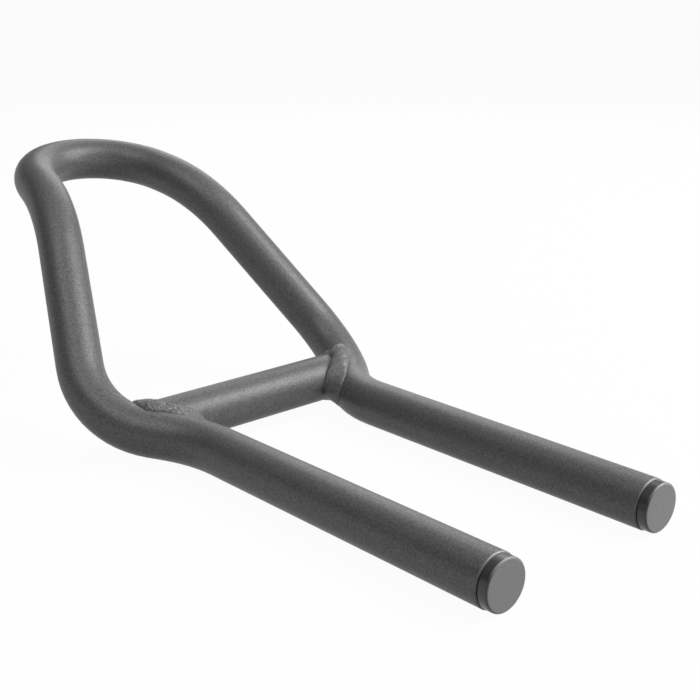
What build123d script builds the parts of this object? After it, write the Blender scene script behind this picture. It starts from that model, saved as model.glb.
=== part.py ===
from build123d import *
from math import cos, radians, sin
import os

# Aero handlebar extension: one bent loop of tube, a welded bridge across its legs and two push-in end plugs.
# Frame: +X to the rider's right, +Y forward, +Z up. The origin is midway between the leg axes,
# in the plane of the tubes' rear ends. Lengths are in millimetres and angles in degrees.

# Tube stock
tube_diameter = 22.2
tube_wall = 2.0
tube_end_chamfer = 0.5

# Bend table of the left half, from the rear end of its leg. A bend's clock angle is the way it turns,
# seen along the tube from behind: 0 is up, 90 inward, 180 down and -90 outward.
leg_spacing = 94.6
leg_length = 160.5
flare_radius = 50.0
flare_angle = 38.0
flare_clock_angle = -81.0
flare_run = 5.0
heel_radius = 47.0
heel_angle = 65.5
heel_clock_angle = 43.5
riser_length = 66.0
brow_radius = 88.0
brow_angle = 32.5
brow_clock_angle = -163.0
brow_run = 5.0

# Bridge between the legs, from stock a little over the loop's own diameter. It sits a little above the loop's
# centre line, and the tips of its coped ends are trimmed square.
bridge_oversize = 0.4
bridge_wall = 2.0
bridge_past_flare_run = 4.6
bridge_rise = 1.4
bridge_tip_trim = 6.0

# Weld bead at each end of the bridge, laid in a front and a rear pass that meet at the crown and at the keel.
# It rides up where the two surfaces close into a corner, and sinks towards the keel.
bead_radius = 4.6
bead_crown_sink = 0.4
bead_corner_lift = 6.5
bead_keel_sink = 2.0
bead_pass_stations = 8
crown_angle = 90
keel_angle = 270
pass_end_search_angle = 45
full_turn_angle = 360

# Push-in end plug: a flange with a rounded rim, a shadow gap behind it and a finned barrel in the bore
plug_flange_inset = 0.45
plug_flange_length = 4.2
plug_rim_radius = 0.9
plug_gap = 0.7
plug_seat_width = 0.9
plug_lead_length = 4.0
plug_barrel_wall = 1.6
plug_bore_clearance = 0.05
fin_height = 0.6
fin_pitch = 5.0
fin_count = 2

# Sizes worked out from the ones above
tube_radius = tube_diameter / 2
bore_radius = tube_radius - tube_wall
bridge_radius = tube_radius + bridge_oversize / 2
bridge_bore_radius = bridge_radius - bridge_wall
plug_barrel_length = plug_lead_length + fin_count * fin_pitch

inboard = Vector(1, 0, 0)
forward = Vector(0, 1, 0)
upward = Vector(0, 0, 1)


def side_of(heading, clock):
    """The unit direction square to heading that a bend of this clock turns toward."""
    up = (upward - heading * upward.dot(heading)).normalized()
    inward = heading.cross(up)
    return up * cos(radians(clock)) + inward * sin(radians(clock))


def straight(start, heading, length):
    """A straight run of the centre line."""
    return Line(start, start + heading * length).edge()


def bend(start, heading, toward, radius, angle):
    """An arc of the centre line that leaves along heading and turns toward one side."""
    plane = Plane(origin=start, x_dir=heading, z_dir=heading.cross(toward))
    return (plane * JernArc((0, 0), (1, 0), radius, angle)).edge()


def left_centre_line():
    """The left half's runs and bends, from the leg's rear end to the start of the tip bend."""
    table = [
        (leg_length, flare_radius, flare_angle, flare_clock_angle),
        (flare_run, heel_radius, heel_angle, heel_clock_angle),
        (riser_length, brow_radius, brow_angle, brow_clock_angle),
    ]
    point = inboard * (-leg_spacing / 2)
    heading = forward
    edges = []
    for length, radius, angle, clock in table:
        edges.append(straight(point, heading, length))
        edges.append(bend(edges[-1] @ 1, heading, side_of(heading, clock), radius, angle))
        point = edges[-1] @ 1
        heading = edges[-1] % 1
    edges.append(straight(point, heading, brow_run))
    return edges


def tip_bend(start, heading):
    """One bend round the front, whose radius carries the tube to the mirror plane square to it."""
    half_angle = heading.get_angle(inboard)
    radius = -start.X / sin(radians(half_angle))
    toward = (inboard - heading * inboard.dot(heading)).normalized()
    return bend(start, heading, toward, radius, 2 * half_angle)


left_edges = left_centre_line()
left_line = Wire(left_edges)
right_edges = [mirror(edge, about=Plane.YZ).edge() for edge in reversed(left_edges)]
centre_line = Wire(left_edges + [tip_bend(left_line @ 1, left_line % 1)] + right_edges)
rear_end = Plane(origin=left_line @ 0, z_dir=forward)

# Loop tube, with its two rear ends chamfered
loop_envelope = sweep(rear_end * Circle(tube_radius), path=centre_line)
loop_tube = sweep(rear_end * (Circle(tube_radius) - Circle(bore_radius)), path=centre_line)
rear_rims = loop_tube.edges().filter_by(GeomType.CIRCLE).group_by(Axis.Y)[0]
outer_rims = [rim for rim in rear_rims if rim.radius > (tube_radius + bore_radius) / 2]
loop_tube = chamfer(outer_rims, tube_end_chamfer)

# Bridge tube, coped at both ends to the loop's outer surface
flare_arc = flare_radius * radians(flare_angle)
bridge_station = leg_length + flare_arc + flare_run + bridge_past_flare_run
bridge_seat = left_line.position_at(bridge_station, position_mode=PositionMode.LENGTH) + upward * bridge_rise
bridge_tip = bridge_seat + inboard * bridge_tip_trim
bridge_length = -2 * bridge_tip.X
bridge_end = Plane(origin=bridge_tip, z_dir=inboard)
bridge_envelope = extrude(bridge_end * Circle(bridge_radius), bridge_length)
bridge_bore = extrude(bridge_end * Circle(bridge_bore_radius), bridge_length)
bridge_tube = bridge_envelope - bridge_bore - loop_envelope


def bead_centre(angle):
    """The bead's centre over the left seam's root, at an angle in degrees round the bridge from straight ahead.

    The root is where the bridge's bore meets the loop.
    """
    bridge_normal = forward * cos(radians(angle)) + upward * sin(radians(angle))
    in_bore = Vector(0, bridge_seat.Y, bridge_seat.Z) + bridge_normal * bridge_bore_radius
    hits = loop_envelope.find_intersection_points(Axis(in_bore, -inboard))
    root, loop_normal = max((hit for hit in hits if hit[0].X < 0), key=lambda hit: hit[0].X)
    closeness = (1 - bridge_normal.dot(loop_normal)) / 2
    drop = bead_crown_sink + bead_keel_sink * (1 - bridge_normal.dot(upward)) / 2
    lift = closeness * (bead_corner_lift + bead_crown_sink) - drop
    return root + (bridge_normal + loop_normal).normalized() * lift


def pass_end(middle):
    """The angle near this one where the seam reaches furthest outboard, and one pass meets the other."""
    near = range(middle - pass_end_search_angle, middle + pass_end_search_angle)
    return min(near, key=lambda angle: bead_centre(angle).X)


def weld_pass(start, stop):
    """One pass of filler along the seam, from angle to angle round the bridge, with rounded ends."""
    step = (stop - start) / (bead_pass_stations - 1)
    line = Spline(*[bead_centre(start + step * station) for station in range(bead_pass_stations)])
    section = Plane(origin=line @ 0, z_dir=line % 0) * Circle(bead_radius)
    ends = [Pos(*end) * Sphere(bead_radius) for end in (line @ 0, line @ 1)]
    return sweep(section, path=line) + ends


def weld_bead():
    """The left bead: both passes, less the two tubes that they lie on."""
    crown = pass_end(crown_angle)
    keel = pass_end(keel_angle)
    filler = weld_pass(crown, keel) + weld_pass(keel - full_turn_angle, crown)
    return filler - loop_envelope - bridge_envelope


def end_plug():
    """The left plug, turned about its leg's axis: radius across, and depth from the tube's end along."""
    flange_radius = tube_radius - plug_flange_inset
    seat_radius = bore_radius + plug_seat_width
    fin_radius = bore_radius - plug_bore_clearance
    core_radius = fin_radius - fin_height
    cup_radius = core_radius - plug_barrel_wall
    face = -plug_gap - plug_flange_length
    outline = [(0, face), (flange_radius, face), (flange_radius, -plug_gap), (seat_radius, -plug_gap)]
    outline += [(seat_radius, 0), (core_radius, 0), (core_radius, plug_lead_length)]
    for fin in range(fin_count):
        crest = plug_lead_length + fin * fin_pitch
        outline += [(fin_radius, crest), (core_radius, crest + fin_pitch)]
    outline += [(cup_radius, plug_barrel_length), (cup_radius, 0), (0, 0)]
    half_section = Plane(origin=left_line @ 0, x_dir=-inboard, z_dir=-upward) * make_face(
        Polyline(*outline, close=True)
    )
    plug = revolve(half_section, Axis(left_line @ 0, forward))
    rim = plug.edges().filter_by(GeomType.CIRCLE).group_by(Axis.Y)[0]
    return fillet(rim, plug_rim_radius)


bead_left = weld_bead()
plug_left = end_plug()
nodes = {
    "loop_tube": loop_tube,
    "bridge_tube": bridge_tube,
    "weld_bead_left": bead_left,
    "weld_bead_right": mirror(bead_left, about=Plane.YZ),
    "end_plug_left": plug_left,
    "end_plug_right": mirror(plug_left, about=Plane.YZ),
}

os.makedirs("parts", exist_ok=True)
for name, shape in nodes.items():
    export_step(shape, f"parts/{name}.step")
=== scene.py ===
"""Looks of a bent-tube aero handlebar extension.

It finishes the blasted tubes and the end plugs, lays rippled weld beads and sets a studio stage.
"""

from math import cos, radians, sin

import bpy
import numpy as np
from mathutils import Matrix, Vector


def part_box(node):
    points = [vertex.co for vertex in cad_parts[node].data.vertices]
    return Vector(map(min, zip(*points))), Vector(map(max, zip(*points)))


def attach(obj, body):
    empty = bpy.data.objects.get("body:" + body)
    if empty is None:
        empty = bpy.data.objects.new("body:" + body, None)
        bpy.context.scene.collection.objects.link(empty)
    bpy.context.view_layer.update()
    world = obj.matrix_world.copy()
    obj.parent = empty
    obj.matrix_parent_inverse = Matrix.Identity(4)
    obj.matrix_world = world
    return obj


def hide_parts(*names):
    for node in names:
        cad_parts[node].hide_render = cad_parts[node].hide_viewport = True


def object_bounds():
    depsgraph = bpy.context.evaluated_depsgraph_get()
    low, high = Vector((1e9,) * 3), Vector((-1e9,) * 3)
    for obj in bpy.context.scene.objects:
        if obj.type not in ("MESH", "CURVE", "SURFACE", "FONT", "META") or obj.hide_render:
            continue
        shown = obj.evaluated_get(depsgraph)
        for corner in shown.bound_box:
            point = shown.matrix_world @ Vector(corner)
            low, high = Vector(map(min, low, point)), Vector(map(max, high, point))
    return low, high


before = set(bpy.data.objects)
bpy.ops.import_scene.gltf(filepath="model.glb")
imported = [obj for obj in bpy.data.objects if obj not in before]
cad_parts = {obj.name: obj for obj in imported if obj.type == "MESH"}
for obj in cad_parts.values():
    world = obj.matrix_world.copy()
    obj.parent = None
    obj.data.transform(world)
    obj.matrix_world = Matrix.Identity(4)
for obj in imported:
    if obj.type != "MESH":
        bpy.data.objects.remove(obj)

bl_info = {
    "name": "Aero Handlebar Extension",
    "version": (1, 0, 0),
    "blender": (4, 5, 0),
    "location": "3D View > Sidebar > Extension",
    "description": "Finishes tubes and end plugs, lays the weld beads and sets the studio stage",
    "category": "Add Mesh",
}

# What the frame gives, in metres: the boxes of the whole, the bridge, the left plug and the loop
CAD_LOW, CAD_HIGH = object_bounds()
BRIDGE_LOW, BRIDGE_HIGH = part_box("bridge_tube")
PLUG_LOW, PLUG_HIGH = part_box("end_plug_left")
LOOP_LOW, LOOP_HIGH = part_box("loop_tube")
BODY = "root"
INBOARD = np.array((1.0, 0.0, 0.0))

# Steps to find a bead's root and to settle a point on the tubes' skin, and points along a pass
MARCH_STEPS = 300
SETTLE_STEPS = 6
LINE_POINTS = 900

# Columns of a bead's line at which its middle, half way across, facing, fall and height divide
LINE_COLUMNS = (3, 6, 9, 12)

# Waves that make up a bead's lumps: how often they turn along it and across it, and their shift
LUMP_WAVES = ((1.1, 0.7, 0.0), (1.9, -1.3, 1.0), (3.1, 2.2, 2.0), (4.7, -3.1, 3.0))

# Soft square lamps: name, azimuth from straight behind, elevation, width in metres, power in watts
LAMPS = (
    ("key_lamp", 60.0, 38.0, 0.9, 18.0),
    ("high_lamp", 32.0, 58.0, 0.8, 6.5),
    ("front_lamp", 138.0, 28.0, 0.8, 5.0),
    ("left_lamp", -92.0, 62.0, 0.8, 5.0),
)


class TubeRoute(bpy.types.PropertyGroup):
    """Bend table of the left half, as far as the weld beads need it."""

    leg_axis: bpy.props.FloatProperty(
        name="Leg Axis",
        description="Distance from the middle plane to a leg's axis",
        default=-(PLUG_LOW.x + PLUG_HIGH.x) / 2, unit="LENGTH")
    tube_radius: bpy.props.FloatProperty(
        name="Tube Radius",
        description="Outer radius of the loop's tube",
        default=-LOOP_LOW.z, unit="LENGTH")
    leg_length: bpy.props.FloatProperty(
        name="Leg Length",
        description="Straight run from the tube's rear end",
        default=0.1605, unit="LENGTH")
    flare_radius: bpy.props.FloatProperty(
        name="Flare Radius",
        description="Radius of the bend that spreads the legs",
        default=0.050, unit="LENGTH")
    flare_angle: bpy.props.FloatProperty(
        name="Flare Angle",
        description="How far the flare bends",
        default=radians(38.0), subtype="ANGLE")
    flare_clock: bpy.props.FloatProperty(
        name="Flare Clock",
        description="Way that the flare turns, from up towards inward",
        default=radians(-81.0), subtype="ANGLE")
    flare_run: bpy.props.FloatProperty(
        name="Flare Run",
        description="Straight run between flare and heel",
        default=0.005, unit="LENGTH")
    heel_radius: bpy.props.FloatProperty(
        name="Heel Radius",
        description="Radius of the bend that lifts the loop",
        default=0.047, unit="LENGTH")
    heel_angle: bpy.props.FloatProperty(
        name="Heel Angle",
        description="How far the heel bends",
        default=radians(65.5), subtype="ANGLE")
    heel_clock: bpy.props.FloatProperty(
        name="Heel Clock",
        description="Way that the heel turns, from up towards inward",
        default=radians(43.5), subtype="ANGLE")


class WeldShape(bpy.types.PropertyGroup):
    """Form of the weld beads.

    A pair of numbers is for the left bead and the right one. Four are for the left front pass, the
    left rear one, the right front one and the right rear one.
    """

    bridge_wall: bpy.props.FloatProperty(
        name="Bridge Wall",
        description="Wall of the bridge, whose bore meets the loop at the bead's root",
        default=0.002, unit="LENGTH")
    crown_turn: bpy.props.FloatVectorProperty(
        name="Crown Turn",
        description="Turn round the bridge, from straight ahead, where the passes meet on top",
        default=(radians(85.0), radians(93.0)), size=2, unit="ROTATION")
    keel_turn: bpy.props.FloatProperty(
        name="Keel Turn",
        description="Turn round the bridge, from straight ahead, where the passes meet below",
        default=radians(285.0), subtype="ANGLE")
    crown_reach: bpy.props.FloatVectorProperty(
        name="Crown Reach",
        description="Furthest that the bead's root lies from the middle plane",
        default=(0.0600, 0.0588), size=2, unit="LENGTH")
    bridge_toe: bpy.props.FloatVectorProperty(
        name="Bridge Toe",
        description="From the root to the edge on the bridge, where the tubes run together",
        default=(0.0050, 0.0062, 0.0021, 0.0084), size=4, unit="LENGTH")
    bridge_toe_gain: bpy.props.FloatVectorProperty(
        name="Bridge Toe Gain",
        description="How much further that edge lies in a corner closed altogether",
        default=(0.0020, 0.0030, 0.0100, -0.0028), size=4, unit="LENGTH")
    loop_toe: bpy.props.FloatVectorProperty(
        name="Loop Toe",
        description="From the root to the edge on the loop, where the tubes run together",
        default=(0.0022, 0.0026, 0.0010, 0.0038), size=4, unit="LENGTH")
    loop_toe_gain: bpy.props.FloatVectorProperty(
        name="Loop Toe Gain",
        description="How much further that edge lies in a corner closed altogether",
        default=(0.0200, 0.0090, 0.0120, 0.0125), size=4, unit="LENGTH")
    toe_sink: bpy.props.FloatProperty(
        name="Toe Sink",
        description="How far under the tubes' skin both edges lie",
        default=0.0002, unit="LENGTH")
    height: bpy.props.FloatVectorProperty(
        name="Height",
        description="Height over the line between the edges, where the tubes run together",
        default=(0.0017, 0.0017, 0.0015, 0.0056), size=4, unit="LENGTH")
    height_gain: bpy.props.FloatVectorProperty(
        name="Height Gain",
        description="How much higher the bead is in a corner closed altogether",
        default=(0.0000, -0.0010, 0.0040, -0.0040), size=4, unit="LENGTH")
    keel_loss: bpy.props.FloatVectorProperty(
        name="Keel Loss",
        description="How much lower the bead is below the bridge than on top of it",
        default=(0.0010, 0.0020, 0.0020, 0.0050), size=4, unit="LENGTH")
    least_height: bpy.props.FloatProperty(
        name="Least Height",
        description="Least height of the bead where the tubes run together",
        default=0.0005, unit="LENGTH")
    hollow: bpy.props.FloatProperty(
        name="Hollow",
        description="How much lower than the least height it may be in a closed corner",
        default=0.0014, unit="LENGTH")
    under_depth: bpy.props.FloatProperty(
        name="Under Depth",
        description="How far into the tubes' walls the bead's underside may reach",
        default=0.0005, unit="LENGTH")
    flank_power: bpy.props.FloatProperty(
        name="Flank Power",
        description="How steeply the bead's flanks meet the tubes: the less, the steeper",
        default=0.75)
    lean: bpy.props.FloatVectorProperty(
        name="Lean",
        description="How much higher the bead is towards the loop than in its middle",
        default=(0.0, 0.35), size=2)
    end_share: bpy.props.FloatProperty(
        name="End Share",
        description="Length of a pass's rounded end as a share of its greatest height",
        default=0.45, subtype="FACTOR")
    end_ring: bpy.props.FloatProperty(
        name="End Ring",
        description="Size of a pass's last ring as a share of a full one",
        default=0.02, subtype="FACTOR")
    ripple_pitch: bpy.props.FloatProperty(
        name="Ripple Pitch",
        description="Distance from one ripple to the next",
        default=0.0052, unit="LENGTH")
    ripple_shift: bpy.props.FloatVectorProperty(
        name="Ripple Shift",
        description="How far along the ripples start, as a share of their pitch",
        default=(0.0, 1 / 3), size=2)
    ripple_depth: bpy.props.FloatVectorProperty(
        name="Ripple Depth",
        description="Depth of the valleys between ripples",
        default=(0.00010, 0.00022), size=2, unit="LENGTH")
    ripple_power: bpy.props.FloatProperty(
        name="Ripple Power",
        description="How narrow the valleys are: the more, the narrower",
        default=3.0)
    ripple_bow: bpy.props.FloatProperty(
        name="Ripple Bow",
        description="How far a ripple's middle runs ahead of its ends",
        default=0.0028, unit="LENGTH")
    edge_ripple: bpy.props.FloatProperty(
        name="Edge Ripple",
        description="Share of the ripples' depth that also narrows the bead",
        default=0.6, subtype="FACTOR")
    lump_pitch: bpy.props.FloatProperty(
        name="Lump Pitch",
        description="Length along the bead over which the lumps' waves turn by one radian",
        default=0.0026, unit="LENGTH")
    lumps_across: bpy.props.FloatProperty(
        name="Lumps Across",
        description="How many radians the lumps' waves turn from the middle to an edge",
        default=5.0)
    lump_height: bpy.props.FloatVectorProperty(
        name="Lump Height",
        description="Height of the uneven lumps on the bead",
        default=(0.00010, 0.00006), size=2, unit="LENGTH")
    unevenness: bpy.props.FloatVectorProperty(
        name="Unevenness",
        description="Depth of the fine lumps in the bead's finish",
        default=(0.0013, 0.0001), size=2, unit="LENGTH")
    stations: bpy.props.IntProperty(
        name="Stations", description="Rings along one pass", default=280)
    ring_points: bpy.props.IntProperty(
        name="Ring Points", description="Points round one ring", default=96)


class FinishColours(bpy.types.PropertyGroup):
    """Colours and grain of the surfaces."""

    tube_dark: bpy.props.FloatVectorProperty(
        name="Tube Dark",
        description="Darker grain of the blasted finish",
        default=(0.142, 0.142, 0.143), subtype="COLOR", min=0.0, max=1.0)
    tube_light: bpy.props.FloatVectorProperty(
        name="Tube Light",
        description="Lighter grain of the blasted finish",
        default=(0.228, 0.228, 0.229), subtype="COLOR", min=0.0, max=1.0)
    weld_dark: bpy.props.FloatVectorProperty(
        name="Weld Dark",
        description="Darker grain on the weld beads",
        default=(0.165, 0.165, 0.166), subtype="COLOR", min=0.0, max=1.0)
    weld_light: bpy.props.FloatVectorProperty(
        name="Weld Light",
        description="Lighter grain on the weld beads",
        default=(0.270, 0.270, 0.271), subtype="COLOR", min=0.0, max=1.0)
    grain_size: bpy.props.FloatProperty(
        name="Grain Size",
        description="Size of the grain, blasted or moulded",
        default=0.0009, unit="LENGTH")
    grain_stops: bpy.props.FloatVectorProperty(
        name="Grain Stops",
        description="Noise at which the darker and the lighter blasted grain are full",
        default=(0.32, 0.68), size=2)
    grain_depth: bpy.props.FloatProperty(
        name="Grain Depth",
        description="Depth of the blasted grain",
        default=0.00006, unit="LENGTH")
    grain_strength: bpy.props.FloatProperty(
        name="Grain Strength",
        description="How much of that depth shows",
        default=0.6, subtype="FACTOR")
    lump_size: bpy.props.FloatProperty(
        name="Lump Size",
        description="Size of the weld's fine lumps",
        default=0.0022, unit="LENGTH")
    metallic: bpy.props.FloatProperty(
        name="Metallic",
        description="Share of the blasted finish that reflects as metal",
        default=0.25, subtype="FACTOR")
    specular: bpy.props.FloatProperty(
        name="Specular",
        description="Strength of the clear reflection on the part that isn't metal",
        default=0.12, subtype="FACTOR")
    tube_roughness: bpy.props.FloatVectorProperty(
        name="Tube Roughness",
        description="Least and most spread of the blasted finish's reflections",
        default=(0.39, 0.49), size=2)
    mottle_size: bpy.props.FloatProperty(
        name="Mottle Size",
        description="Size of the patches over which that spread changes",
        default=0.022, unit="LENGTH")
    bare_edge_highlight: bpy.props.FloatVectorProperty(
        name="Bare Edge",
        description="Worn metal on top of the tubes' rear chamfers",
        # Bare metal of the tubes' rear chamfers, painted paler on top only as a painted highlight
        default=(0.36, 0.36, 0.36), subtype="COLOR", min=0.0, max=1.0)
    edge_depth: bpy.props.FloatVectorProperty(
        name="Edge Depth",
        description="Distance from the tubes' rear ends where that wear starts and is full",
        # Distance from the tubes' rear ends where that bare metal and painted highlight start and
        # are full
        default=(0.00065, 0.00035), size=2, unit="LENGTH")
    # Painted highlight: this height band limits the paler shade to the top of rear edges, on tubes
    # and plugs
    top_highlight_height: bpy.props.FloatVectorProperty(
        name="Top Highlight Height",
        # Height over the legs' axes where the painted highlight on top of rear edges starts and is
        # full
        description="Height over the legs' axes where wear on rear edges starts and is full",
        default=(0.0045, 0.0100), size=2, unit="LENGTH")
    plug: bpy.props.FloatVectorProperty(
        name="Plug",
        description="Moulded plastic of the end plugs",
        default=(0.072, 0.072, 0.073), subtype="COLOR", min=0.0, max=1.0)
    plug_face_and_highlight: bpy.props.FloatVectorProperty(
        name="Plug Face",
        # Paler shade of the end plugs' outer face, also painted on top of the rim as a highlight
        description="Rubbed outer face of the end plugs",
        default=(0.36, 0.36, 0.361), subtype="COLOR", min=0.0, max=1.0)
    plug_shades: bpy.props.FloatVectorProperty(
        name="Plug Shades",
        description="Darker and lighter moulded grain, as shares of the plug's colour",
        default=(0.94, 1.06), size=2)
    plug_stops: bpy.props.FloatVectorProperty(
        name="Plug Stops",
        description="Noise at which the darker and the lighter moulded grain are full",
        default=(0.3, 0.7), size=2)
    plug_rim: bpy.props.FloatVectorProperty(
        name="Plug Rim",
        # Depth from the plug's face where the paler shade ends all round, and where the painted
        # highlight ends on top
        description="Depth from the plug's face where the rubbing ends, all round and on top",
        default=(0.0002, 0.0011), size=2, unit="LENGTH")
    plug_roughness: bpy.props.FloatVectorProperty(
        name="Plug Roughness",
        description="Least and most spread of the plug's reflections",
        default=(0.28, 0.36), size=2)
    satin_size: bpy.props.FloatProperty(
        name="Satin Size",
        description="Size of the patches over which that spread changes",
        default=0.006, unit="LENGTH")
    mould_depth: bpy.props.FloatProperty(
        name="Mould Depth",
        description="Depth of the moulded grain",
        default=0.00001, unit="LENGTH")
    mould_strength: bpy.props.FloatProperty(
        name="Mould Strength",
        description="How much of that depth shows",
        default=0.3, subtype="FACTOR")


class StageSettings(bpy.types.PropertyGroup):
    """Camera, floor and light."""

    azimuth: bpy.props.FloatProperty(
        name="Azimuth",
        description="Camera's turn round the object, from straight behind",
        default=radians(-42.58), subtype="ANGLE")
    elevation: bpy.props.FloatProperty(
        name="Elevation",
        description="Camera's height above the horizon",
        default=radians(17.444), subtype="ANGLE")
    roll: bpy.props.FloatProperty(
        name="Roll",
        description="Camera's turn about its own axis",
        default=radians(0.16), subtype="ANGLE")
    distance: bpy.props.FloatProperty(
        name="Distance",
        description="From the camera to its target",
        default=0.52871, unit="LENGTH")
    target: bpy.props.FloatVectorProperty(
        name="Target",
        description="Point in the middle of the picture",
        default=(0.0, 0.12763, 0.045273), subtype="TRANSLATION")
    lens: bpy.props.FloatProperty(
        name="Lens", description="Focal length in millimetres", default=61.84)
    sensor: bpy.props.FloatProperty(
        name="Sensor", description="Width of the camera's sensor in millimetres", default=36.0)
    lamp_distance: bpy.props.FloatProperty(
        name="Lamp Distance",
        description="From every lamp to the camera's target",
        default=1.5, unit="LENGTH")
    floor_half: bpy.props.FloatProperty(
        name="Floor Half",
        description="From the middle of the floor to its edge",
        default=14.0, unit="LENGTH")
    backdrop_height: bpy.props.FloatProperty(
        name="Backdrop Height",
        description="How high the backdrop stands along the floor's edges",
        default=4.0, unit="LENGTH")
    floor_glow: bpy.props.FloatProperty(
        name="Floor Glow",
        description="Share of even white in the floor that is seen; the rest takes shadow",
        default=0.96, subtype="FACTOR")
    floor_seen: bpy.props.FloatVectorProperty(
        name="Floor Seen",
        description="Paint on the floor where the camera, gloss or glass sees it",
        default=(0.90, 0.90, 0.90), subtype="COLOR", min=0.0, max=1.0)
    floor_bounce: bpy.props.FloatVectorProperty(
        name="Floor Bounce",
        description="Paint on the floor for the light that it throws back on the object",
        default=(0.12, 0.12, 0.12), subtype="COLOR", min=0.0, max=1.0)
    surround: bpy.props.FloatProperty(
        name="Surround", description="Strength of the grey beyond the floor", default=0.03)


def unit(vectors):
    """Vectors divided by their own lengths."""
    return vectors / np.linalg.norm(vectors, axis=-1, keepdims=True)


def dot(a, b):
    """Row by row dot product, kept as a column."""
    return np.sum(a * b, axis=-1, keepdims=True)


def nearest_on_run(points, start, end):
    """The nearest point on a straight run.

    It is start plus the run times each point's share along it, held to 0..1.
    """
    run = end - start
    share = np.clip((points - start) @ run / (run @ run), 0.0, 1.0)
    return start + share[..., None] * run


def nearest_on_bend(points, centre, heading, toward, radius, angle):
    """The nearest point on an arc: centre + R*(heading*sin(t) - toward*cos(t)).

    t is the point's own turn round the centre, held to the bend's range.
    """
    arm = points - centre
    turn = np.clip(np.arctan2(arm @ heading, -(arm @ toward)), 0.0, angle)[..., None]
    return centre + radius * (heading * np.sin(turn) - toward * np.cos(turn))


class TubeSkin:
    """The outer skin of the left half's tubes round the joint, as distances from centre lines."""

    def __init__(self, route):
        self.radius = route.tube_radius
        self.bridge_radius = (BRIDGE_HIGH.z - BRIDGE_LOW.z) / 2
        self.bridge_reach = BRIDGE_HIGH.x
        middle = (BRIDGE_LOW + BRIDGE_HIGH) / 2
        self.bridge_middle = np.array((0.0, middle.y, middle.z))
        self.runs = []
        self.bends = []
        point = np.array((-route.leg_axis, 0.0, 0.0))
        heading = np.array((0.0, 1.0, 0.0))
        table = (
            (route.leg_length, route.flare_radius, route.flare_angle, route.flare_clock),
            (route.flare_run, route.heel_radius, route.heel_angle, route.heel_clock),
        )
        for length, radius, angle, clock in table:
            start = point
            point = point + heading * length
            self.runs.append((start, point))
            up = unit(np.array((0.0, 0.0, 1.0)) - heading * heading[2])
            toward = up * cos(clock) + np.cross(heading, up) * sin(clock)
            self.bends.append((point + toward * radius, heading, toward, radius, angle))
            point = point + radius * (heading * sin(angle) + toward * (1 - cos(angle)))
            heading = heading * cos(angle) + toward * sin(angle)

    def loop_gap(self, points):
        """Distance outside the loop, and its normal: away from the nearest centre-line point."""
        near = [nearest_on_run(points, *run) for run in self.runs]
        near += [nearest_on_bend(points, *bend) for bend in self.bends]
        arms = points - np.array(near)
        lengths = np.linalg.norm(arms, axis=-1)
        best = np.argmin(lengths, axis=0)[None]
        length = np.take_along_axis(lengths, best, axis=0)[0]
        arm = np.take_along_axis(arms, best[..., None], axis=0)[0]
        return length - self.radius, arm / length[..., None]

    def bridge_gap(self, points):
        """Distance outside the bridge, and its normal.

        The normal is square to the bridge's axis along X, or outboard past the bridge's tip.
        """
        offset = points - self.bridge_middle
        arm = offset * (1.0 - INBOARD)
        length = np.linalg.norm(arm, axis=-1)
        past_side = length - self.bridge_radius
        past_tip = np.abs(offset[..., 0]) - self.bridge_reach
        outboard = np.sign(offset) * INBOARD
        normal = np.where((past_tip > past_side)[..., None], outboard, arm / length[..., None])
        return np.maximum(past_side, past_tip), normal

    def gap(self, points):
        """Distance outside both tubes, the smaller of the two, and the normal that goes with it."""
        loop, loop_normal = self.loop_gap(points)
        bridge, bridge_normal = self.bridge_gap(points)
        on_loop = loop <= bridge
        return np.minimum(loop, bridge), np.where(on_loop[..., None], loop_normal, bridge_normal)

    def float_up(self, points, depth):
        """Points deeper in the walls than a depth, raised to it along the normal, step by step."""
        for _ in range(SETTLE_STEPS):
            gap, normal = self.gap(points)
            points = points + np.maximum(-depth - gap, 0.0)[..., None] * normal
        return points

    def bead_line(self, weld, turns, number):
        """The left bead's middle at turns round the bridge from straight ahead, and its section.

        The number is the pass's place among the four in the weld's settings. Each line along the
        bridge's bore marches outboard by its gap till it meets the loop, or to the crown's reach:
        that is the root. One edge lies inboard of it on the bridge, and one away from the bridge on
        the loop, both just under the skin. How far depends on how closed the corner is, from 0 to
        1. The height depends on that too, and on how far below the crown it is, from 0 to 1. Beside
        the middle of the two edges go half the way across, the way the bead faces, the fall to the
        root and the height.
        """
        ring = np.stack((np.zeros_like(turns), np.cos(turns), np.sin(turns)), axis=-1)
        met = self.bridge_middle + ring * (self.bridge_radius - weld.bridge_wall)
        for _ in range(MARCH_STEPS):
            met = met - self.loop_gap(met)[0][:, None] * INBOARD
        normal = self.loop_gap(met)[1]
        root = np.maximum(met, np.array((-weld.crown_reach[number // 2], -np.inf, -np.inf)))
        closed = (1.0 - dot(normal, ring)) / 2
        below = (1.0 - ring[:, 2:]) / 2
        height = weld.height[number] + weld.height_gain[number] * closed
        height = height - weld.keel_loss[number] * below**2
        height = np.maximum(height, weld.least_height - weld.hollow * closed)
        inner = root + ring * (weld.bridge_wall - weld.toe_sink)
        inner = inner + INBOARD * (weld.bridge_toe[number] + weld.bridge_toe_gain[number] * closed)
        away = ring - INBOARD
        away = unit(away - dot(away, normal) * normal)
        outer = root + away * (weld.loop_toe[number] + weld.loop_toe_gain[number] * closed)
        for _ in range(SETTLE_STEPS):
            gap, outward = self.loop_gap(outer)
            outer = outer - (gap + weld.toe_sink)[:, None] * outward
        middle = (inner + outer) / 2
        return np.hstack((middle, (outer - inner) / 2, unit(ring + normal), root - middle, height))


def columns_at(where, lengths, rows):
    """Rows of vectors read off at places along a line, each column between the nearest two."""
    return np.stack([np.interp(where, lengths, column) for column in rows.T], axis=1)


def lumps(along, across, shift):
    """Uneven lumps from -1 to 1: a mean of sine waves whose lengths don't divide each other."""
    total = sum(np.sin(along * a + across * b + shift * (c + 1.0) + c) for a, b, c in LUMP_WAVES)
    return total / len(LUMP_WAVES)


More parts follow.
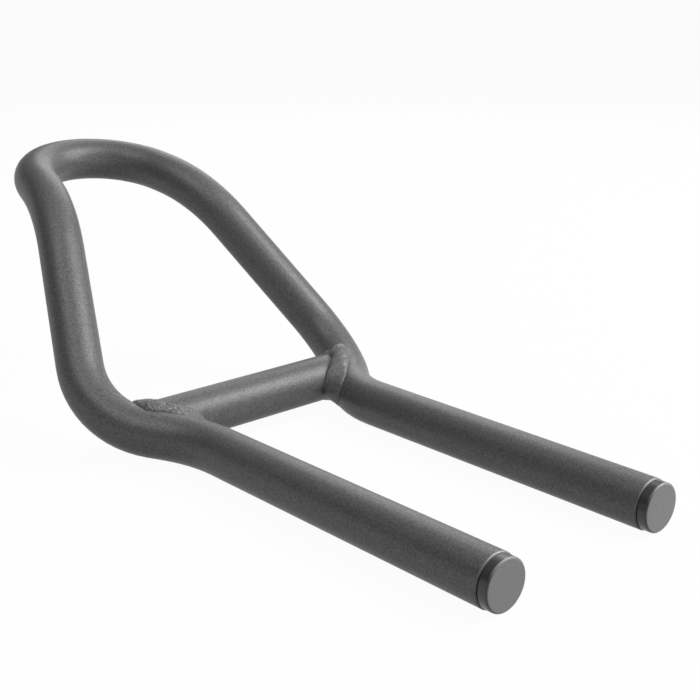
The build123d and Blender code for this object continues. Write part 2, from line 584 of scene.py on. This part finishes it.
def weld_pass(line, weld, index):
    """One pass of filler as rings of points along a bead's line.

    A ring's point at a turn t is middle + across*sin(t) + facing*height*cos(t)^p*(1 + l*sin(t)),
    with a power p that sets the flanks and a lean l towards the loop, or the fall to the root for
    the height where cos(t) is below nought. The ripple and the lumps at t are taken off. Past both
    ends the ring shrinks as a quarter circle.
    """
    steps = np.linalg.norm(np.diff(line[:, :3], axis=0), axis=1)
    lengths = np.concatenate(([0.0], np.cumsum(steps)))
    cap = line[:, -1].max() * weld.end_share
    along = np.linspace(-cap, lengths[-1] + cap, weld.stations)
    inside = np.clip(along, 0.0, lengths[-1])
    columns = np.split(columns_at(inside, lengths, line), LINE_COLUMNS, axis=1)
    middle, across, facing, fall, height = columns
    tangent = unit(columns_at(inside, lengths, np.gradient(line[:, :3], axis=0)))
    middle = middle + tangent * (along - inside)[:, None]
    end = np.sqrt(np.clip(1.0 - ((along - inside) / cap) ** 2, weld.end_ring**2, 1.0))[:, None]
    turn = np.linspace(-np.pi, np.pi, weld.ring_points, endpoint=False)
    bulge = np.clip(np.cos(turn), 0.0, 1.0)
    phase = (along[:, None] + weld.ripple_bow * bulge) / weld.ripple_pitch
    phase = 2 * np.pi * (phase + weld.ripple_shift[index])
    valley = (0.5 + 0.5 * np.cos(phase)) ** weld.ripple_power
    rough = lumps(along[:, None] / weld.lump_pitch, np.sin(turn) * weld.lumps_across, index)
    taken = weld.ripple_depth[index] * valley + weld.lump_height[index] * rough
    narrowing = weld.edge_ripple * taken / np.linalg.norm(across, axis=1, keepdims=True)
    wide = (1.0 - narrowing) * end * np.sin(turn)
    lean = 1.0 + weld.lean[index] * np.sin(turn)
    high = (height - taken) * end * bulge**weld.flank_power * lean
    deep = end * np.clip(-np.cos(turn), 0.0, 1.0)
    parts = ((wide, across), (high, facing), (deep, fall))
    return middle[:, None] + sum(amount[..., None] * arm[:, None] for amount, arm in parts)


def weld_bead(skin, weld, index):
    """The rings of a bead's front and rear pass, on the left side.

    Points deep inside the tubes' walls are raised, so that the underside follows the skin.
    """
    crown, keel = weld.crown_turn[index], weld.keel_turn
    passes = []
    for order, span in enumerate(((keel - 2 * np.pi, crown), (crown, keel))):
        line = skin.bead_line(weld, np.linspace(*span, LINE_POINTS), 2 * index + order)
        passes.append(skin.float_up(weld_pass(line, weld, index), weld.under_depth))
    return passes


def ring_shell(rings, base):
    """Quads between rings that close on themselves, and a fan of triangles to a point at each end.

    The faces are turned over if the shell's signed volume, a sixth of the sum of a.(b x c), is
    below nought. The faces count their points from a base.
    """
    count, size = rings.shape[:2]
    index = np.arange(count * size).reshape(count, size)
    ahead = np.roll(index, -1, axis=1)
    quads = np.stack((index[:-1], ahead[:-1], ahead[1:], index[1:]), axis=-1).reshape(-1, 4)
    ends = rings[:1].mean(axis=1), rings[-1:].mean(axis=1)
    points = np.concatenate((rings.reshape(-1, 3), *ends))
    head = np.full(size, count * size)
    fans = np.concatenate((
        np.stack((ahead[0], index[0], head), axis=1),
        np.stack((index[-1], ahead[-1], head + 1), axis=1),
    ))
    triangles = np.concatenate((quads[:, [0, 1, 2]], quads[:, [0, 2, 3]], fans))
    corners = points[triangles]
    volume = np.sum(corners[:, 0] * np.cross(corners[:, 1], corners[:, 2])) / 6
    if volume < 0:
        quads = quads[:, ::-1]
        fans = fans[:, ::-1]
    return points, (quads + base).tolist() + (fans + base).tolist()


def mesh_piece(name, points, faces, material, replaced):
    """A smooth-shaded mesh object at the origin that rides on the body and replaces a CAD node."""
    mesh = bpy.data.meshes.new(name)
    mesh.from_pydata(points, [], faces)
    mesh.polygons.foreach_set("use_smooth", np.ones(len(mesh.polygons), bool))
    mesh.materials.append(material)
    mesh.update()
    piece = bpy.data.objects.new(name, mesh)
    bpy.context.scene.collection.objects.link(piece)
    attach(piece, BODY)
    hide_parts(replaced)
    return piece


def dress(node, material):
    """Gives a carried-over node one material."""
    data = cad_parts[node].data
    data.materials.clear()
    data.materials.append(material)


class Nodes:
    """Adds nodes to a material and joins them."""

    def __init__(self, name):
        self.material = bpy.data.materials.new(name)
        self.material.use_nodes = True
        self.tree = self.material.node_tree
        self.shader = self.tree.nodes["Principled BSDF"]
        self.place = self.tree.nodes.new("ShaderNodeTexCoord").outputs["Object"]

    def add(self, kind, links=None, values=None, **settings):
        """A node of a kind, with its settings, socket values and incoming links."""
        node = self.tree.nodes.new(kind)
        for key, value in settings.items():
            setattr(node, key, value)
        for key, value in (values or {}).items():
            node.inputs[key].default_value = value
        for key, socket in (links or {}).items():
            self.tree.links.new(socket, node.inputs[key])
        return node

    def noise(self, size, detail=2.0):
        """Noise from 0 to 1 whose grain has a size in metres."""
        values = {"Scale": 1.0 / size, "Detail": detail}
        return self.add("ShaderNodeTexNoise", {"Vector": self.place}, values).outputs["Fac"]

    def ramp(self, factor, places, colours):
        """A ramp from factor to colour, with a colour at each of two places."""
        node = self.add("ShaderNodeValToRGB", {"Fac": factor})
        for element, place, colour in zip(node.color_ramp.elements, places, colours):
            element.position = place
            element.color = (*colour, 1.0)
        return node.outputs["Color"]

    def spread(self, factor, low, high):
        """Factor from 0 to 1 spread between two numbers."""
        values = {"To Min": low, "To Max": high}
        return self.add("ShaderNodeMapRange", {"Value": factor}, values).outputs["Result"]

    def band(self, axis, low, high):
        """From 0 to 1 as the place along an axis goes from low to high, and level past them."""
        place = self.add("ShaderNodeSeparateXYZ", {"Vector": self.place}).outputs[axis]
        values = {"From Min": low, "From Max": high}
        return self.add("ShaderNodeMapRange", {"Value": place}, values).outputs["Result"]

    def math(self, operation, first, second):
        """Two numbers joined by an operation."""
        links = {0: first, 1: second}
        return self.add("ShaderNodeMath", links, operation=operation).outputs["Value"]

    def mix(self, factor, first, second):
        """Two colours mixed by a factor; a colour may be a socket or a value."""
        node = self.add("ShaderNodeMix", {"Factor": factor}, data_type="RGBA")
        for name, colour in (("A", first), ("B", second)):
            socket = next(s for s in node.inputs if s.name == name and s.type == "RGBA")
            if isinstance(colour, bpy.types.NodeSocket):
                self.tree.links.new(colour, socket)
            else:
                socket.default_value = (*colour, 1.0)
        return next(s for s in node.outputs if s.type == "RGBA")

    def bump(self, height, distance, strength=1.0, under=None):
        """Bump of a height field, over another bump if there is one."""
        links = {"Height": height}
        if under:
            links["Normal"] = under
        node = self.add("ShaderNodeBump", links, {"Distance": distance, "Strength": strength})
        return node.outputs["Normal"]

    def plug_in(self, **sockets):
        """Joins sockets to the shader, with _ for a space in a name."""
        for key, socket in sockets.items():
            self.tree.links.new(socket, self.shader.inputs[key.replace("_", " ")])


def blasted_finish(name, colours, shades, unevenness=0.0):
    """Dark anodised metal blasted to a fine even grain of a darker and a lighter shade.

    It is slightly mottled and, if asked for, uneven underneath.
    """
    nodes = Nodes(name)
    grain = nodes.noise(colours.grain_size)
    under = nodes.bump(nodes.noise(colours.lump_size), unevenness) if unevenness else None
    mottle = nodes.noise(colours.mottle_size, detail=3.0)
    nodes.plug_in(
        Base_Color=nodes.ramp(grain, colours.grain_stops, shades),
        Roughness=nodes.spread(mottle, *colours.tube_roughness),
        Normal=nodes.bump(grain, colours.grain_depth, colours.grain_strength, under),
    )
    nodes.shader.inputs["Metallic"].default_value = colours.metallic
    nodes.shader.inputs["Specular IOR Level"].default_value = colours.specular
    return nodes


def plug_finish(colours):
    """Satin plastic with a faint moulded grain, paler on its face, with a painted highlight on top
    of its rim.
    """
    nodes = Nodes("satin_plug")
    grain = nodes.noise(colours.grain_size)
    moulded, pale = (
        nodes.ramp(grain, colours.plug_stops, [Vector(colour) * s for s in colours.plug_shades])
        for colour in (colours.plug, colours.plug_face_and_highlight)
    )
    rear = PLUG_LOW.y
    face, rim = (nodes.band("Y", rear + depth, rear + depth / 2) for depth in colours.plug_rim)
    # Painted highlight: the face's paler shade is carried over the top of the rim, where light
    # catches it
    rim_highlight = nodes.math("MULTIPLY", rim, nodes.band("Z", *colours.top_highlight_height))
    nodes.plug_in(
        Base_Color=nodes.mix(nodes.math("MAXIMUM", face, rim_highlight), moulded, pale),
        Roughness=nodes.spread(nodes.noise(colours.satin_size), *colours.plug_roughness),
        Normal=nodes.bump(grain, colours.mould_depth, colours.mould_strength),
    )
    return nodes.material


class EXTENSION_OT_tubes(bpy.types.Operator):
    """Finishes the loop and the bridge, with bare metal painted as a highlight on top of the loop's
    rear chamfers
    """

    bl_idname = "extension.tubes"
    bl_label = "Finish Tubes"

    def execute(self, context):
        colours = context.scene.extension_finish
        shades = colours.tube_dark, colours.tube_light
        loop = blasted_finish("blasted_loop", colours, shades)
        # Painted highlight: the chamfer's bare metal is painted paler only on its top, where light
        # catches it
        lit_top_bands = loop.band("Y", *colours.edge_depth), loop.band("Z", *colours.top_highlight_height)
        speckle = loop.shader.inputs["Base Color"].links[0].from_socket
        edge = loop.math("MULTIPLY", *lit_top_bands)
        loop.plug_in(Base_Color=loop.mix(edge, speckle, colours.bare_edge_highlight))
        dress("loop_tube", loop.material)
        dress("bridge_tube", blasted_finish("blasted_bridge", colours, shades).material)
        return {"FINISHED"}


class EXTENSION_OT_welds(bpy.types.Operator):
    """Lays a rippled bead of two passes round each end of the bridge"""

    bl_idname = "extension.welds"
    bl_label = "Lay Weld Beads"

    def execute(self, context):
        scene = context.scene
        weld = scene.extension_weld
        colours = scene.extension_finish
        shades = colours.weld_dark, colours.weld_light
        skin = TubeSkin(scene.extension_route)
        for index, (side, mirror) in enumerate((("left", 1.0), ("right", -1.0))):
            finish = blasted_finish(
                f"blasted_weld_{side}", colours, shades, weld.unevenness[index])
            points, faces = [], []
            for rings in weld_bead(skin, weld, index):
                rings = rings * np.array((mirror, 1.0, 1.0))
                shell, shell_faces = ring_shell(rings, sum(map(len, points)))
                points.append(shell)
                faces += shell_faces
            piece = mesh_piece(
                f"rippled_bead_{side}", np.concatenate(points), faces, finish.material,
                f"weld_bead_{side}")
        return {"FINISHED"}


class EXTENSION_OT_plugs(bpy.types.Operator):
    """Finishes the two end plugs in satin plastic"""

    bl_idname = "extension.plugs"
    bl_label = "Finish End Plugs"

    def execute(self, context):
        material = plug_finish(context.scene.extension_finish)
        for side in ("left", "right"):
            dress(f"end_plug_{side}", material)
        return {"FINISHED"}


def outward(azimuth, elevation):
    """The unit direction at an azimuth from straight behind and an elevation, in radians."""
    level = cos(elevation)
    return Vector((sin(azimuth) * level, -cos(azimuth) * level, sin(elevation)))


def soft_lamp(name, target, back, distance, size, power):
    """A square lamp at a distance from the target along back, turned to face it."""
    data = bpy.data.lights.new(name, "AREA")
    data.shape = "SQUARE"
    data.size = size
    data.energy = power
    lamp = bpy.data.objects.new(name, data)
    lamp.location = target + back * distance
    lamp.rotation_euler = back.to_track_quat("Z", "Y").to_euler()
    bpy.context.scene.collection.objects.link(lamp)


class EXTENSION_OT_stage(bpy.types.Operator):
    """Sets the pale floor, the dim surround, the soft lamps and the camera"""

    bl_idname = "extension.stage"
    bl_label = "Set Stage"

    def execute(self, context):
        scene = context.scene
        stage = scene.extension_stage
        target = Vector(stage.target)
        self.floor(stage)
        self.surround(scene, stage)
        for name, azimuth, elevation, size, power in LAMPS:
            back = outward(radians(azimuth), radians(elevation))
            soft_lamp(name, target, back, stage.lamp_distance, size, power)
        self.camera(scene, stage, target)
        scene.view_settings.view_transform = "Standard"
        return {"FINISHED"}

    def floor(self, stage):
        """A wide square under the object's lowest point, with a backdrop along its edges."""
        half = stage.floor_half
        flat = [(-half, -half), (half, -half), (half, half), (-half, half)]
        heights = CAD_LOW.z, CAD_LOW.z + stage.backdrop_height
        corners = [(x, y, z) for z in heights for x, y in flat]
        sides = [(near + 4, (near + 1) % 4 + 4, (near + 1) % 4, near) for near in range(4)]
        mesh = bpy.data.meshes.new("floor")
        mesh.from_pydata(corners, [], [(0, 1, 2, 3), *sides])
        mesh.materials.append(self.floor_paint(stage))
        floor = bpy.data.objects.new("floor", mesh)
        bpy.context.scene.collection.objects.link(floor)

    def floor_paint(self, stage):
        """Grey paint for the light that it throws back.

        Where the camera, gloss or glass sees it, it is white paint with its shadow under an even
        glow.
        """
        nodes = Nodes("pale_floor")
        nodes.shader.inputs["Roughness"].default_value = 1.0
        nodes.shader.inputs["Specular IOR Level"].default_value = 0.0
        path = nodes.add("ShaderNodeLightPath").outputs
        seen = path["Is Camera Ray"]
        for ray in ("Is Glossy Ray", "Is Transmission Ray"):
            seen = nodes.math("MAXIMUM", seen, path[ray])
        nodes.plug_in(Base_Color=nodes.mix(seen, stage.floor_bounce, stage.floor_seen))
        white = {"Color": (1.0, 1.0, 1.0, 1.0), "Strength": 1.0}
        blend = nodes.add("ShaderNodeMixShader", {
            "Fac": nodes.spread(seen, 0.0, stage.floor_glow),
            1: nodes.shader.outputs["BSDF"],
            2: nodes.add("ShaderNodeEmission", values=white).outputs["Emission"],
        })
        surface = nodes.tree.nodes["Material Output"].inputs["Surface"]
        nodes.tree.links.new(blend.outputs["Shader"], surface)
        nodes.material.cycles.emission_sampling = "NONE"
        return nodes.material

    def surround(self, scene, stage):
        """A dim even grey."""
        world = bpy.data.worlds.new("surround")
        scene.world = world
        world.use_nodes = True
        background = world.node_tree.nodes["Background"]
        background.inputs["Color"].default_value = (1.0, 1.0, 1.0, 1.0)
        background.inputs["Strength"].default_value = stage.surround

    def camera(self, scene, stage, target):
        """Back points from target to camera; right and up are square to it, turned by the roll."""
        roll = stage.roll
        back = outward(stage.azimuth, stage.elevation)
        right = Vector((0.0, 0.0, 1.0)).cross(back).normalized()
        up = back.cross(right)
        right, up = right * cos(roll) + up * sin(roll), up * cos(roll) - right * sin(roll)
        data = bpy.data.cameras.new("photo_camera")
        data.lens = stage.lens
        data.sensor_width = stage.sensor
        camera = bpy.data.objects.new("photo_camera", data)
        turned = Matrix((right, up, back)).transposed().to_quaternion()
        camera.matrix_world = Matrix.LocRotScale(target + back * stage.distance, turned, None)
        scene.collection.objects.link(camera)
        scene.camera = camera


class EXTENSION_PT_panel(bpy.types.Panel):
    """Lists the steps in the 3D view's sidebar"""

    bl_idname = "EXTENSION_PT_panel"
    bl_label = "Handlebar Extension"
    bl_space_type = "VIEW_3D"
    bl_region_type = "UI"
    bl_category = "Extension"

    def draw(self, context):
        for operator in OPERATORS:
            self.layout.operator(operator.bl_idname)


SETTINGS = {
    "extension_route": TubeRoute,
    "extension_weld": WeldShape,
    "extension_finish": FinishColours,
    "extension_stage": StageSettings,
}
OPERATORS = (EXTENSION_OT_tubes, EXTENSION_OT_welds, EXTENSION_OT_plugs, EXTENSION_OT_stage)


def register():
    """Registers the settings, operators and panel."""
    for name, group in SETTINGS.items():
        bpy.utils.register_class(group)
        setattr(bpy.types.Scene, name, bpy.props.PointerProperty(type=group))
    for cls in (*OPERATORS, EXTENSION_PT_panel):
        bpy.utils.register_class(cls)


def unregister():
    """Takes back what register added."""
    for cls in (EXTENSION_PT_panel, *reversed(OPERATORS)):
        bpy.utils.unregister_class(cls)
    for name, group in reversed(SETTINGS.items()):
        delattr(bpy.types.Scene, name)
        bpy.utils.unregister_class(group)


def main():
    register()
    bpy.ops.extension.tubes()
    bpy.ops.extension.welds()
    bpy.ops.extension.plugs()
    bpy.ops.extension.stage()


if __name__ == "__main__":
    main()
